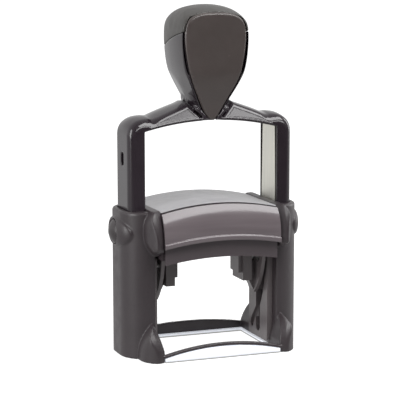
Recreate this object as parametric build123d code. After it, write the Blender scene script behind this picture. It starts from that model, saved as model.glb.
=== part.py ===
from build123d import *
import math
import os

# Self-inking stamp, millimetres. X across the width, -Y is the front, Z up, Z = 0 is the paper.
# The origin is the centre of the footprint. Parts are drawn on the right (+X) side and mirrored.

# ---- Driving dimensions ----
OPENING_HALF = 27.0  # half the clear width between the two pairs of feet
DEPTH_HALF = 24.5  # half the depth over the front and rear bars
DIE_HALF_X = 24.5  # the text plate is 49 x 28
DIE_HALF_Y = 14.0
STROKE = 33.0  # how far the handle goes down
RIM_Z = 65.0  # top of the columns
TOTAL_H = 153.4
GROUND = 0.2  # the plastic stands this far off the paper, on the rubber feet
CLEAR = 0.35  # gap between the legs and their columns

# ---- Columns and legs ----
COLUMN_OUTER_X = 41.2
COLUMN_HALF_Y = 15.8
COLUMN_INNER_X = 28.5
COLUMN_CORNER = 9.5
LEG_INNER_X = 30.9
LEG_OUTER_X = 38.2
LEG_HALF_Y = 9.9
LEG_CORNER = 3.6
STRIP = 1.0  # thickness of the steel core
STRIP_HALF_Y = 8.6
WALL = 1.3  # outer wall of a leg

# ---- Carrier and its axle ----
DIE_Z = 47.2  # face of the text rubber at rest
AXLE_DROP = (DIE_Z - STROKE) / 2  # the axle is midway between the two places of the face
AXLE_Z = DIE_Z - AXLE_DROP
AXLE_R = 2.0
FOLLOWER_R = 1.5
FOLLOWER_ARM = 7.0  # from the axle to the follower pin
RUBBER_T = 1.6
TEXT_PLATE_T = 0.8
HOLDER_T = 1.0
ARM_X = (23.0, 24.6)
RUN = 0.05  # radial running clearance

# ---- Housing ----
CAM_X = (26.1, 28.5)
CAM_HALF_Y = 10.8
TRAY_FLOOR_Z = 49.7  # the ink pad hangs from this face
PAD_T = 1.6
BUTTON_Z = 55.2
BUTTON_R = 5.2
STEM_R = 1.2
DISH_FLOOR_X = COLUMN_OUTER_X - 1.4  # bottom of the recess round a side button
COVER_HALF_Y = 19.2

# ---- Bow and knob ----
BOW_CORNER_Z = 99.3  # underside of the bow beside the legs
BOW_CENTRE_Z = 103.3
LEG_BOTTOM_Z = STROKE + 3.6
SPRING_X = 34.5
SPRING_R = 1.8
SPRING_WIRE = 0.3
SPRING_TOP_Z = 85.0
PLUG_TOP_Z = 3.0
PLATE_Y = 15.0  # face of the drop-shaped knob plates
PLATE_T = 1.6
TIP_SETBACK = 5.1  # how far the plates lean back at their tips
SEAM_Z = 141.5  # seam between knob and cap, at mid depth


def mirror_x(part):
    return mirror(part, about=Plane.YZ)


def mirror_y(part):
    return mirror(part, about=Plane.XZ)


def both_sides(part):
    return part + mirror_x(part)


def all_corners(part):
    half = both_sides(part)
    return half + mirror_y(half)


def block(x, y, z):
    """Box between three (low, high) pairs."""
    size = [high - low for low, high in (x, y, z)]
    middle = [(high + low) / 2 for low, high in (x, y, z)]
    return Pos(*middle) * Box(*size)


def rod(radius, x, y, z):
    """Cylinder along X from x[0] to x[1]."""
    length = x[1] - x[0]
    return Pos((x[0] + x[1]) / 2, y, z) * Rot(0, 90, 0) * Cylinder(radius, length)


def side_prism(edges, x):
    """Closed Y-Z outline extruded along X."""
    face = make_face(edges)
    return Pos(x[0], 0, 0) * extrude(Plane.YZ * face, amount=x[1] - x[0])


def front_prism(edges, y):
    """Closed X-Z outline extruded along Y."""
    face = make_face(edges)
    return Pos(0, y[1], 0) * extrude(Plane.XZ * face, amount=y[1] - y[0])


def superellipse(half_x, half_y, power, count):
    """Points round an oval that grows squarer as the power grows."""
    points = []
    for k in range(count):
        angle = 2 * math.pi * k / count
        c, s = math.cos(angle), math.sin(angle)
        x = math.copysign(abs(c) ** (2 / power), c) * half_x
        y = math.copysign(abs(s) ** (2 / power), s) * half_y
        points.append((x, y))
    return points


def arch(x, rise, half=OPENING_HALF):
    """Height of a shallow arch above its ends."""
    return rise * (1 - (x / half) ** 2)


def arched(profile, half):
    """Loft of a Y-Z profile that rises towards the middle of the width."""
    faces = []
    for step in range(-2, 3):
        x = half * step / 2
        faces.append(Pos(x, 0, 0) * (Plane.YZ * make_face(profile(x))))
    return loft(faces)


def arched_bar(y, low, high, half, low_rise, high_rise):
    """Bar of constant depth between two shallow arches."""

    def profile(x):
        z0 = low + arch(x, low_rise)
        z1 = high + arch(x, high_rise)
        return Polyline((y[0], z0), (y[1], z0), (y[1], z1), (y[0], z1), close=True)

    return arched(profile, half)


# ---------------------------------------------------------------- lower housing


def round_corners(face, corners):
    """Round the corners of a face: (x, y, radius) for each corner, on both sides of the middle line."""
    for x, y, radius in corners:
        at = [v for v in face.vertices() if math.isclose(abs(v.X), x, abs_tol=0.01)]
        at = [v for v in at if math.isclose(abs(v.Y), y, abs_tol=0.01)]
        face = fillet(at, radius)
    return face


def column_outline():
    """Plan of a column: flat inner side, slightly convex outer side, large round corners."""
    crown = 0.7
    corner_x = COLUMN_OUTER_X - crown
    outer = ThreePointArc((corner_x, -COLUMN_HALF_Y), (COLUMN_OUTER_X, 0), (corner_x, COLUMN_HALF_Y))
    inner = Polyline(
        (corner_x, COLUMN_HALF_Y),
        (COLUMN_INNER_X, COLUMN_HALF_Y),
        (COLUMN_INNER_X, -COLUMN_HALF_Y),
        (corner_x, -COLUMN_HALF_Y),
    )
    return round_corners(make_face([outer, inner]), [(corner_x, COLUMN_HALF_Y, COLUMN_CORNER)])


def column():
    body = extrude(column_outline(), amount=RIM_Z)
    top_edges = body.edges().group_by(Axis.Z)[-1]
    rim = [edge for edge in top_edges if edge.center().X > COLUMN_INNER_X + 0.1]
    return fillet(rim, 0.7)


def leg_outline(grow=0.0):
    x0 = LEG_INNER_X - grow
    x1 = LEG_OUTER_X + grow
    half = LEG_HALF_Y + grow
    face = Pos((x0 + x1) / 2, 0) * Rectangle(x1 - x0, 2 * half)
    outer = face.vertices().group_by(Axis.X)[-1]
    return fillet(outer, LEG_CORNER)


def corner_foot():
    """Pointed foot in the front right corner: three outlines crossed."""
    tip_y, tip_x, tip_z = -14.0, 29.7, 16.7
    toe_y, toe_x, heel_x = -DEPTH_HALF - 0.4, 31.5, 36.4
    side = [
        ThreePointArc((toe_y, 0), (toe_y + 2.4, 10.2), (tip_y, tip_z)),
        Polyline((tip_y, tip_z), (tip_y, 0), (toe_y, 0)),
    ]
    front = [
        ThreePointArc((heel_x, 0), (heel_x - 2.2, 10.0), (tip_x, tip_z)),
        ThreePointArc((tip_x, tip_z), (OPENING_HALF + 0.9, 11.5), (OPENING_HALF, 4.0)),
        Polyline((OPENING_HALF, 4.0), (OPENING_HALF, 0), (heel_x, 0)),
    ]
    plan = Polyline(
        (OPENING_HALF, tip_y), (OPENING_HALF, toe_y), (toe_x, toe_y + 0.5), (heel_x, tip_y), close=True
    )
    foot = side_prism(side, (OPENING_HALF, heel_x)) & front_prism(front, (toe_y, tip_y))
    return foot & extrude(make_face(plan), amount=tip_z)


def window_arc(x, offset):
    """Front curve of a window at width x, moved outwards by offset: bottom, middle and top points."""
    low = 49.8 + arch(x, 2.6)
    high = 65.5 + arch(x, 3.2)
    return (
        (-DEPTH_HALF + 0.3 - offset, low),
        (-DEPTH_HALF + 1.5 - offset * 0.9, low + 9.0),
        (-COVER_HALF_Y - 0.2 - offset * 0.6, high - 0.1 + offset * 0.5),
    )


def cheek():
    """Leaf-shaped lobe beside the window, front right."""
    top_z = RIM_Z + 0.9
    tip = (-17.6, 46.7)
    bottom, middle, top = window_arc(OPENING_HALF, 0.7)
    side = [
        ThreePointArc(bottom, middle, top),
        Polyline(top, (top[0], top_z), (-12.0, top_z), (-12.0, 50.0), tip, bottom),
    ]
    outer_x, ridge_x = 33.9, 30.2
    front = [
        ThreePointArc((29.6, tip[1]), (outer_x, 56.0), (30.6, top_z)),
        Polyline((30.6, top_z), (OPENING_HALF, top_z), (OPENING_HALF, 48.2), (29.6, tip[1])),
    ]
    plan = [
        ThreePointArc((OPENING_HALF, -25.2), (ridge_x, -24.2), (31.6, -22.2)),
        ThreePointArc((31.6, -22.2), (33.2, -18.6), (outer_x, -15.0)),
        Polyline((outer_x, -15.0), (outer_x, -12.0), (OPENING_HALF, -12.0), (OPENING_HALF, -25.2)),
    ]
    lobe = side_prism(side, (OPENING_HALF, outer_x)) & front_prism(front, (-26.0, -12.0))
    return lobe & extrude(make_face(plan), amount=top_z)


def upper_side():
    """Solid wall between the end of the window housing and the leg."""
    return block((OPENING_HALF, LEG_INNER_X - CLEAR), (-COVER_HALF_Y, COVER_HALF_Y), (44.4, RIM_Z + 0.9))


def button_eye():
    """Bulge on the outer wall of a column, drawn out to a point at the front and the back."""
    reach, height = 12.8, 8.2
    outline = [
        ThreePointArc((-reach, BUTTON_Z), (0, BUTTON_Z + height), (reach, BUTTON_Z)),
        ThreePointArc((reach, BUTTON_Z), (0, BUTTON_Z - height), (-reach, BUTTON_Z)),
    ]
    middle_x = COLUMN_OUTER_X - 4.6
    dome = scale(Sphere(height), by=(1, 1.75, 1.06))
    return (Pos(middle_x, 0, BUTTON_Z) * dome) & side_prism(outline, (middle_x, COLUMN_OUTER_X + 4))


def axle_slot(half, x):
    """Upright slot that the carrier axle runs down."""
    low, high = AXLE_Z - STROKE, AXLE_Z
    slot = block(x, (-half, half), (low, high))
    return slot + rod(half, x, 0, low) + rod(half, x, 0, high)


def button_recess():
    """Dish for the head of a side button, with a hole for its stem."""
    dish = rod(BUTTON_R + 0.15, (DISH_FLOOR_X, COLUMN_OUTER_X + 5), 0, BUTTON_Z)
    hole = rod(STEM_R + 0.1, (LEG_OUTER_X, DISH_FLOOR_X + 1), 0, BUTTON_Z)
    return dish + hole


def foot_pad(depth=1.0, grow=0.0):
    return Pos(31.0, -19.0, depth / 2) * Cylinder(2.2 + grow, depth)


def make_main_frame():
    """Two columns with their feet, cheeks and button bulges, tied by a front and a rear bar."""
    solid = column() + upper_side() + button_eye()
    solid += corner_foot() + mirror_y(corner_foot())
    solid += cheek() + mirror_y(cheek())
    solid -= extrude(leg_outline(CLEAR), amount=RIM_Z + 5)
    solid -= axle_slot(AXLE_R + 0.3, (COLUMN_INNER_X - 1, LEG_INNER_X))
    solid -= button_recess()
    frame = both_sides(solid)
    bar_half = OPENING_HALF + 1
    front_y = (-DEPTH_HALF, -DEPTH_HALF + 2.2)
    frame += arched_bar(front_y, 2.2, 3.5, bar_half, 3.4, 3.5)
    frame += arched_bar((DEPTH_HALF - 2.1, DEPTH_HALF), 0, 4.2, bar_half, 0, 2.3)
    frame -= block((-50, 50), (-30, 30), (-1, GROUND))
    return frame - all_corners(foot_pad(grow=0.05))


# ---------------------------------------------------------------- window housing


def make_bridge():
    """Cross member: roof, floor, side walls with the tray rails, label walls and the rear band."""
    half = OPENING_HALF - 0.1
    roof = arched_bar((-18.5, 18.5), 62.6, 64.2, half, 3.2, 3.2)
    floor = arched_bar((-20.6, 22.2), 50.4, 51.6, half, 2.4, 2.4)
    label_wall = arched_bar((-20.6, -19.4), 51.0, 60.5, half, 2.4, 2.6)
    upper_wall = arched_bar((-19.4, -18.2), 59.0, 63.4, half, 2.6, 3.2)
    rear_band = arched_bar((20.7, 22.2), 42.5, 51.0, 26.0, 2.5, 2.5)
    wall_x = (half - 0.8, half)
    wall = block(wall_x, (-20.4, 22.2), (44.5, 52.0)) + block(wall_x, (-19.0, 19.0), (51.0, 63.0))
    rail = block((25.4, half), (-20.4, 20.7), (44.5, 45.5))
    bridge = roof + floor + label_wall + mirror_y(label_wall) + upper_wall + mirror_y(upper_wall)
    return bridge + rear_band + both_sides(wall + rail)


def make_top_cover():
    half_y = COVER_HALF_Y - 0.9
    return arched_bar((-half_y, half_y), 64.2, 65.5, OPENING_HALF - 0.05, 3.2, 3.2)


def window_profile(x):
    """Section of a window: bead at the bottom, thin curved panel above."""
    bottom, middle, top = window_arc(x, 0.0)
    inner_bottom, inner_middle, inner_top = window_arc(x, -1.4)
    bead_out, bead_h = 0.7, 2.2
    bead_y = bottom[0] - bead_out
    bead_top = bottom[1] + bead_h
    panel_start = (bottom[0] + 0.05, bead_top + 0.3)
    return [
        Line((inner_bottom[0], bottom[1]), (bead_y + 0.4, bottom[1])),
        Line((bead_y + 0.4, bottom[1]), (bead_y, bottom[1] + 0.5)),
        Line((bead_y, bottom[1] + 0.5), (bead_y, bead_top - 0.4)),
        Line((bead_y, bead_top - 0.4), panel_start),
        ThreePointArc(panel_start, middle, top),
        Line(top, inner_top),
        ThreePointArc(inner_top, inner_middle, (inner_bottom[0], bottom[1])),
    ]


def make_window():
    return arched(window_profile, OPENING_HALF - 0.05)


def make_label_card():
    return arched_bar((-21.0, -20.7), 53.0, 59.6, 25.6, 2.4, 2.4)


def follower_path():
    """Path of the follower pin: the carrier turns half a turn over the stroke."""
    points = []
    steps = 12
    for k in range(steps + 1):
        turn = math.pi * k / steps
        y = -FOLLOWER_ARM * math.cos(turn)
        z = AXLE_Z - STROKE * k / steps - FOLLOWER_ARM * math.sin(turn)
        points.append((y, z))
    return points


def make_flip_cam():
    """Guide plate with the axle slot and the S-shaped groove that turns the carrier over."""
    plate = block(CAM_X, (-CAM_HALF_Y, CAM_HALF_Y), (2.0, 44.3))
    plate = fillet(plate.edges().filter_by(Axis.X), 1.5)
    plate -= axle_slot(AXLE_R + 0.3, (CAM_X[0] - 1, CAM_X[1] + 1))
    points = follower_path()
    groove_r = FOLLOWER_R + 0.15
    groove = Plane.YZ * trace(Spline(points), line_width=2 * groove_r)
    depth = (CAM_X[0] - 0.5, CAM_X[1] - 1.0)
    plate -= Pos(depth[0], 0, 0) * extrude(groove, amount=depth[1] - depth[0])
    for y, z in (points[0], points[-1]):
        plate -= rod(groove_r, depth, y, z)
    return plate


def make_clear_base():
    """Clear ring that frames the imprint, with a crescent that fills the front arch."""
    half = OPENING_HALF - 0.1
    ring = block((-half, half), (-22.2, 22.2), (GROUND, 1.4))
    tongue = block((-half, half), (-24.3, -22.2), (GROUND, 1.4))
    opening = block((-25.6, 25.6), (-19.7, 19.7), (0, 2))
    crescent = arched_bar((-24.3, -22.5), GROUND, 2.1, half, 0, 3.4)
    return ring + tongue + crescent - opening


# ---------------------------------------------------------------- ink cartridge


def make_ink_tray():
    """Shallow tray open below, with the arched grip under the front window."""
    inner_x, outer_x, flange_x = 24.9, 25.3, 26.0
    front_y, rear_y, low_z = -21.0, 19.9, 45.6
    top = arched_bar((front_y, rear_y), TRAY_FLOOR_Z, 49.6, outer_x, 0, 2.55)
    wall = block((inner_x, outer_x), (front_y, rear_y), (low_z, TRAY_FLOOR_Z + 0.15))
    flange = block((inner_x, flange_x), (front_y + 0.4, rear_y), (low_z, low_z + 1.2))
    grip = arched_bar((-22.3, -20.7), 42.5, 49.6, 26.0, 2.5, 2.5)
    return top + both_sides(wall + flange) + grip


def make_ink_pad():
    half_y = DIE_HALF_Y + 0.3
    pad_z = (TRAY_FLOOR_Z - PAD_T, TRAY_FLOOR_Z)
    pad = block((-DIE_HALF_X, DIE_HALF_X), (-half_y, half_y), pad_z)
    return fillet(pad.edges().filter_by(Axis.Z), 1.0)


# ---------------------------------------------------------------- side buttons


def make_button():
    """Round button with a domed face, a stem and a pocket for its spring."""
    stem_x = LEG_OUTER_X + CLEAR + 0.15
    shoulder_x = COLUMN_OUTER_X + 0.4
    edge_x = shoulder_x + 0.7
    pocket_x = shoulder_x + 1.2
    pocket_r = 3.6
    crown_x = edge_x + 2.3
    crown_r = 0.4
    profile = [
        Polyline((crown_x, crown_r), (crown_x, 0), (stem_x, 0), (stem_x, STEM_R), (pocket_x, STEM_R)),
        Polyline((pocket_x, STEM_R), (pocket_x, pocket_r), (shoulder_x, pocket_r), (shoulder_x, BUTTON_R)),
        Line((shoulder_x, BUTTON_R), (edge_x, BUTTON_R)),
        ThreePointArc((edge_x, BUTTON_R), (edge_x + 1.7, BUTTON_R * 0.53), (crown_x, crown_r)),
    ]
    return Pos(0, 0, BUTTON_Z) * revolve(make_face(profile), axis=Axis.X)


def coil(radius, wire, length, turns):
    """Helical spring that starts at the origin and runs up Z."""
    pitch = (length - 2 * wire) / turns
    path = Helix(pitch, length - 2 * wire, radius)
    start = Plane(origin=path @ 0, z_dir=path % 0)
    return Pos(0, 0, wire) * sweep(start * Circle(wire), path)


def make_button_spring():
    return Pos(DISH_FLOOR_X, 0, BUTTON_Z) * Rot(0, 90, 0) * coil(radius=2.7, wire=0.2, length=3.0, turns=3)


# ---------------------------------------------------------------- springs inside the columns


def make_column_plug():
    """Plug that closes a column from below and seats the return spring."""
    plug = extrude(leg_outline(CLEAR - 0.03), amount=PLUG_TOP_Z)
    plug -= block((20, 50), (-20, 20), (-1, GROUND))
    return plug - Pos(SPRING_X, 0, 2.2) * Cylinder(1.2, 1.6)


def make_spring_guide():
    top_z = 50.0
    guide = Pos(SPRING_X, 0, (1.4 + top_z) / 2) * Cylinder(1.2, top_z - 1.4)
    return chamfer(guide.edges().group_by(Axis.Z)[-1], 0.4)


def make_return_spring():
    length = SPRING_TOP_Z - PLUG_TOP_Z
    return Pos(SPRING_X, 0, PLUG_TOP_Z) * coil(SPRING_R, SPRING_WIRE, length, turns=16)


# ---------------------------------------------------------------- handle


def bow_outline():
    """The bow seen from the front: two legs, round shoulders and the arch that rises to the neck."""
    shoulder_z, bump_x, bump_z = 102.9, 31.2, 105.6
    dip_x, dip_z = 23.5, 105.0
    neck_x, neck_z = 12.5, 110.2
    right = [(neck_x, neck_z), (dip_x, dip_z), (bump_x, bump_z), (LEG_OUTER_X, shoulder_z)]
    left = [(-x, z) for x, z in reversed(right)]
    leg_right = [(LEG_OUTER_X, LEG_BOTTOM_Z), (LEG_INNER_X, LEG_BOTTOM_Z), (LEG_INNER_X, BOW_CORNER_Z)]
    leg_left = [(-x, z) for x, z in reversed(leg_right)]
    outline = [
        Polyline(*left, *right, *leg_right),
        ThreePointArc(leg_right[-1], (0, BOW_CENTRE_Z), leg_left[0]),
        Polyline(*leg_left, left[0]),
    ]
    corners = [
        (LEG_OUTER_X, shoulder_z, 6.5),
        (bump_x, bump_z, 8.0),
        (dip_x, dip_z, 12.0),
        (neck_x, neck_z, 20.0),
        (LEG_INNER_X, BOW_CORNER_Z, 1.2),
    ]
    return round_corners(make_face(outline), corners)


def bow_solid():
    """The bow with its outer edges rounded and its inner edges left square."""
    body = Pos(0, LEG_HALF_Y, 0) * extrude(Plane.XZ * bow_outline(), amount=2 * LEG_HALF_Y)
    outer = []
    for edge in body.edges():
        middle = edge.center()
        on_face = math.isclose(abs(middle.Y), LEG_HALF_Y, abs_tol=0.01)
        if on_face and (middle.Z > BOW_CENTRE_Z + 1 or abs(middle.X) > LEG_INNER_X + 4):
            outer.append(edge)
    return fillet(outer, LEG_CORNER)


def knob_stations():
    """Height, half width and half depth of the knob, from the neck up to the crown."""
    return (
        (104.5, 10.2, 8.6),
        (108.5, 9.4, 8.9),
        (112.5, 9.5, 9.9),
        (118.0, 11.5, 11.8),
        (125.0, 14.2, 13.5),
        (133.0, 15.6, 14.3),
        (141.0, 15.9, 14.5),
        (147.0, 15.1, 13.9),
        (151.2, 12.4, 11.6),
        (TOTAL_H - 0.4, 8.8, 8.2),
        (TOTAL_H, 5.2, 5.0),
    )


def knob_solid():
    sections = []
    for z, half_x, half_y in knob_stations():
        points = superellipse(half_x, half_y, power=3.0, count=32)
        sections.append(Pos(0, 0, z) * make_face(Spline(points, periodic=True)))
    return loft(sections)


def plate_outline(grow=0.0):
    """Right half of the drop-shaped plate, mirrored into a closed outline."""
    shoulder = [(0.0, 150.3), (7.5, 149.0), (12.6, 145.4), (14.0, 140.0)]
    flank = [(13.2, 131.0), (11.0, 123.0), (5.7, 112.2)]
    tip = (0.0, 103.2)
    right = Spline(shoulder + flank, tangents=[(1, 0), (-0.45, -1)])
    edge = Line(flank[-1], tip)
    curve = [right, edge, mirror(edge, about=Plane.YZ), mirror(right, about=Plane.YZ)]
    face = make_face(curve)
    return offset(face, amount=grow) if grow else face


def plate_slab(back, front):
    """Slab that follows the knob plate from its flat top down to the tip on the bow."""
    top_z, bend_z, waist_z, low_z = 152.0, 123.0, 112.2, 102.0
    waist = 3.3

    def curve(y):
        """Side view of one face of the slab, from its top down."""
        points = ((y, bend_z), (y + waist, waist_z), (y + TIP_SETBACK, low_z))
        return [Line((y, top_z), (y, bend_z)), Spline(points, tangents=[(0, -1), (0.1, -1)])]

    ends = [Line((-back, top_z), (-front, top_z))]
    ends.append(Line((-back + TIP_SETBACK, low_z), (-front + TIP_SETBACK, low_z)))
    return side_prism(curve(-back) + curve(-front) + ends, (-20, 20))


def make_knob_plate(grow=0.0):
    slab = plate_slab(PLATE_Y - PLATE_T, PLATE_Y + grow)
    return slab & extrude(Plane.XZ * plate_outline(grow), amount=30)


def above_seam():
    """Everything above the seam of the knob, which slopes down to the rear."""
    reach, top_z = 30, 170
    front_z, rear_z = SEAM_Z + 7.5, SEAM_Z - 12.5
    seam = [
        Spline((-reach, front_z), (0, SEAM_Z), (reach, rear_z)),
        Polyline((reach, rear_z), (reach, top_z), (-reach, top_z), (-reach, front_z)),
    ]
    return side_prism(seam, (-reach, reach))


def steel_core_solid():
    """Inverted U of steel strip: the inner faces of the legs, joined through the arch."""
    corner_z, crown_z = BOW_CORNER_Z + 0.6, BOW_CENTRE_Z + 1.6
    outer_x, outer_z = LEG_INNER_X + STRIP, corner_z + STRIP
    leg = [(LEG_INNER_X, corner_z), (LEG_INNER_X, LEG_BOTTOM_Z), (outer_x, LEG_BOTTOM_Z), (outer_x, outer_z)]
    far_leg = [(-x, z) for x, z in leg]
    outline = [
        Polyline(*leg),
        ThreePointArc(leg[-1], (0, crown_z + STRIP), far_leg[-1]),
        Polyline(*far_leg),
        ThreePointArc(leg[0], (0, crown_z), far_leg[0]),
    ]
    core = front_prism(outline, (-STRIP_HALF_Y, STRIP_HALF_Y))
    behind_plate = block((-9, 9), (8.1, 10), (100, 110))
    return core - behind_plate - mirror_y(behind_plate)


def axle_holes(radius):
    return both_sides(rod(radius, (LEG_INNER_X - 1, LEG_INNER_X + STRIP + 0.5), 0, AXLE_Z))


def make_steel_core():
    return steel_core_solid() - axle_holes(AXLE_R)


def lock_notch(z, height):
    """Recess in the outer face of a leg that a side button can enter."""
    depth = 1.6
    x = (LEG_OUTER_X - depth, LEG_OUTER_X + 1)
    half = STEM_R + 0.25
    low, high = z - height / 2 + half, z + height / 2 - half
    return block(x, (-half, half), (low, high)) + rod(half, x, 0, low) + rod(half, x, 0, high)


def make_handle_bow():
    """Bow, neck and lower knob in one moulding, hollow in the legs."""
    body = bow_solid() + (knob_solid() - above_seam())
    body -= steel_core_solid()
    pocket_x = (LEG_INNER_X, LEG_OUTER_X - WALL)
    pocket_z = (LEG_BOTTOM_Z - 1, SPRING_TOP_Z)
    pockets = block(pocket_x, (-3.2, 3.2), pocket_z)
    for side in (-1, 1):
        y = sorted((side * 4.4, side * (LEG_HALF_Y - WALL - 1)))
        pockets += block(pocket_x, y, pocket_z)
    notches = lock_notch(BUTTON_Z, 3.2) + lock_notch(BUTTON_Z + STROKE - 1.3, 5.6)
    body -= both_sides(pockets + notches)
    seat = make_knob_plate(grow=0.1)
    return body - seat - mirror_y(seat)


def make_knob_cap():
    cap = knob_solid() & above_seam()
    seat = make_knob_plate(grow=0.1)
    return cap - seat - mirror_y(seat)


def make_carrier_axles():
    """Headed pins through the steel core that carry the swinging carrier."""
    head_x = LEG_INNER_X + STRIP
    shaft = rod(AXLE_R, (ARM_X[0] - 0.4, head_x), 0, AXLE_Z)
    head = rod(2.8, (head_x, head_x + 0.4), 0, AXLE_Z)
    return both_sides(shaft + head)


# ---------------------------------------------------------------- swinging carrier


def make_plate_carrier():
    """Holder for the text plate with two sector arms and their stepped ribs."""
    top_z = DIE_Z - RUBBER_T - TEXT_PLATE_T
    low_z = top_z - HOLDER_T
    holder = block((-ARM_X[1], ARM_X[1]), (-14.5, 14.5), (low_z, top_z))
    tip_z = 23.6
    arm_outline = [
        Polyline((2.4, tip_z), (-2.4, tip_z)),
        ThreePointArc((-2.4, tip_z), (-8.6, 31.0), (-12.5, low_z)),
        Polyline((-12.5, low_z), (12.5, low_z)),
        ThreePointArc((12.5, low_z), (8.6, 31.0), (2.4, tip_z)),
    ]
    arm = side_prism(arm_outline, ARM_X)
    boss = rod(3.4, (ARM_X[0], CAM_X[0] - 0.15), 0, AXLE_Z)
    root_x, edge_x = ARM_X[0] + 0.5, 20.2
    gusset_outline = Polyline((root_x, tip_z), (edge_x, 30.0), (edge_x, low_z), (root_x, low_z), close=True)
    gusset = front_prism(gusset_outline, (-2.4, 2.4))
    inner_rib = block((14.5, 16.6), (-5.0, 5.0), (33.5, low_z))
    outer_rib = block((16.2, 20.4), (-6.4, 6.4), (30.0, low_z))
    half = arm + boss + gusset + inner_rib + outer_rib
    half -= rod(AXLE_R + RUN, (ARM_X[0] - 1, CAM_X[0]), 0, AXLE_Z)
    half -= rod(AXLE_R + 1.2, (19.0, ARM_X[0]), 0, AXLE_Z)
    half -= rod(FOLLOWER_R, (ARM_X[0] - 1, CAM_X[0]), -FOLLOWER_ARM, AXLE_Z)
    return holder + both_sides(half)


def make_cam_followers():
    return both_sides(rod(FOLLOWER_R, (ARM_X[0], CAM_X[1] - 1.2), -FOLLOWER_ARM, AXLE_Z))


def make_text_plate():
    low = DIE_Z - RUBBER_T - TEXT_PLATE_T
    return block((-DIE_HALF_X, DIE_HALF_X), (-DIE_HALF_Y, DIE_HALF_Y), (low, low + TEXT_PLATE_T))


def make_text_rubber():
    """Rubber die with plain raised bars in place of lettering."""
    low = DIE_Z - RUBBER_T
    sheet = block((-DIE_HALF_X, DIE_HALF_X), (-DIE_HALF_Y, DIE_HALF_Y), (low, low + 0.9))
    pitch, half_height = 4.8, 0.9
    for row, length in enumerate((12.0, 19.0, 22.0, 16.0, 21.0)):
        y = pitch * (2 - row)
        sheet += block((-length, length), (y - half_height, y + half_height), (low, DIE_Z))
    return sheet


# ---------------------------------------------------------------- export


def build_nodes():
    """Every separate piece by name."""
    right_only = {
        "flip_cam": make_flip_cam(),
        "column_plug": make_column_plug(),
        "spring_guide": make_spring_guide(),
        "return_spring": make_return_spring(),
        "lock_button": make_button(),
        "button_spring": make_button_spring(),
    }
    window = make_window()
    card = make_label_card()
    knob_plate = make_knob_plate()
    nodes = {
        "main_frame": make_main_frame(),
        "bridge": make_bridge(),
        "top_cover": make_top_cover(),
        "front_window": window,
        "rear_window": mirror_y(window),
        "front_label_card": card,
        "rear_label_card": mirror_y(card),
        "clear_base": make_clear_base(),
        "base_feet": all_corners(foot_pad()),
        "ink_tray": make_ink_tray(),
        "ink_pad": make_ink_pad(),
        "handle_bow": make_handle_bow(),
        "steel_core": make_steel_core(),
        "knob_cap": make_knob_cap(),
        "knob_front_plate": knob_plate,
        "knob_rear_plate": mirror_y(knob_plate),
        "carrier_axles": make_carrier_axles(),
        "plate_carrier": make_plate_carrier(),
        "cam_followers": make_cam_followers(),
        "text_plate": make_text_plate(),
        "text_rubber": make_text_rubber(),
    }
    for name, part in right_only.items():
        nodes[name + "_right"] = part
        nodes[name + "_left"] = mirror_x(part)
    return nodes


os.makedirs("parts", exist_ok=True)
for node_name, node in build_nodes().items():
    export_step(node, f"parts/{node_name}.step")
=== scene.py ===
"""Self-inking stamp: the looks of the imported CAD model.

The moulded shells are drawn as smooth distance fields in millimetres, meshed, and put in place of
their CAD nodes. The other pieces keep their CAD shape and get their materials here.
"""

import math

import bpy
import numpy as np
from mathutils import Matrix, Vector


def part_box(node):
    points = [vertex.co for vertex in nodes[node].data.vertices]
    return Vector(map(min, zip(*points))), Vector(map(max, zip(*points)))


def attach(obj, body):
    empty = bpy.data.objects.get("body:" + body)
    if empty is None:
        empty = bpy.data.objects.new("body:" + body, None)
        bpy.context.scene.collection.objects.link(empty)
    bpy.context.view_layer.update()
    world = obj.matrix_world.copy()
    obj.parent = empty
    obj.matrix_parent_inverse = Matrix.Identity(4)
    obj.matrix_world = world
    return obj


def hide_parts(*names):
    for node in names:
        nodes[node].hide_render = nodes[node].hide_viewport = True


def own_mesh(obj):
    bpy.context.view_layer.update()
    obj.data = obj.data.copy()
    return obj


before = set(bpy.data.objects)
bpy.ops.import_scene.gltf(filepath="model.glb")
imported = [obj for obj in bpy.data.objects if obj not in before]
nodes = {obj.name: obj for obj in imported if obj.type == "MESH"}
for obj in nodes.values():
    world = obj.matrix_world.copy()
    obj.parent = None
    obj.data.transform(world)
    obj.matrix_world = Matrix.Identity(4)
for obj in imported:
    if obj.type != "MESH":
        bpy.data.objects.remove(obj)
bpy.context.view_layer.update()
MM = 1000.0


def box_mm(node):
    """Low and high corner of a CAD node in millimetres."""
    low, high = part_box(node)
    return np.array(low) * MM, np.array(high) * MM


# ------------------------------------------------------------------ sizes (millimetres)
# The frame gives every size that ends a CAD node; the others are set here.

FRAME_LOW, FRAME_HIGH = box_mm("main_frame")
BOW_LOW, BOW_HIGH = box_mm("handle_bow")
CAP_LOW, CAP_HIGH = box_mm("knob_cap")
BUTTON_LOW, BUTTON_HIGH = box_mm("lock_button_right")
AXLE_LOW, AXLE_HIGH = box_mm("carrier_axles")
CORE_HIGH = box_mm("steel_core")[1]
COVER_HIGH = box_mm("top_cover")[1]
WINDOW_HIGH = box_mm("front_window")[1]
CAM_HIGH = box_mm("flip_cam_right")[1]

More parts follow.
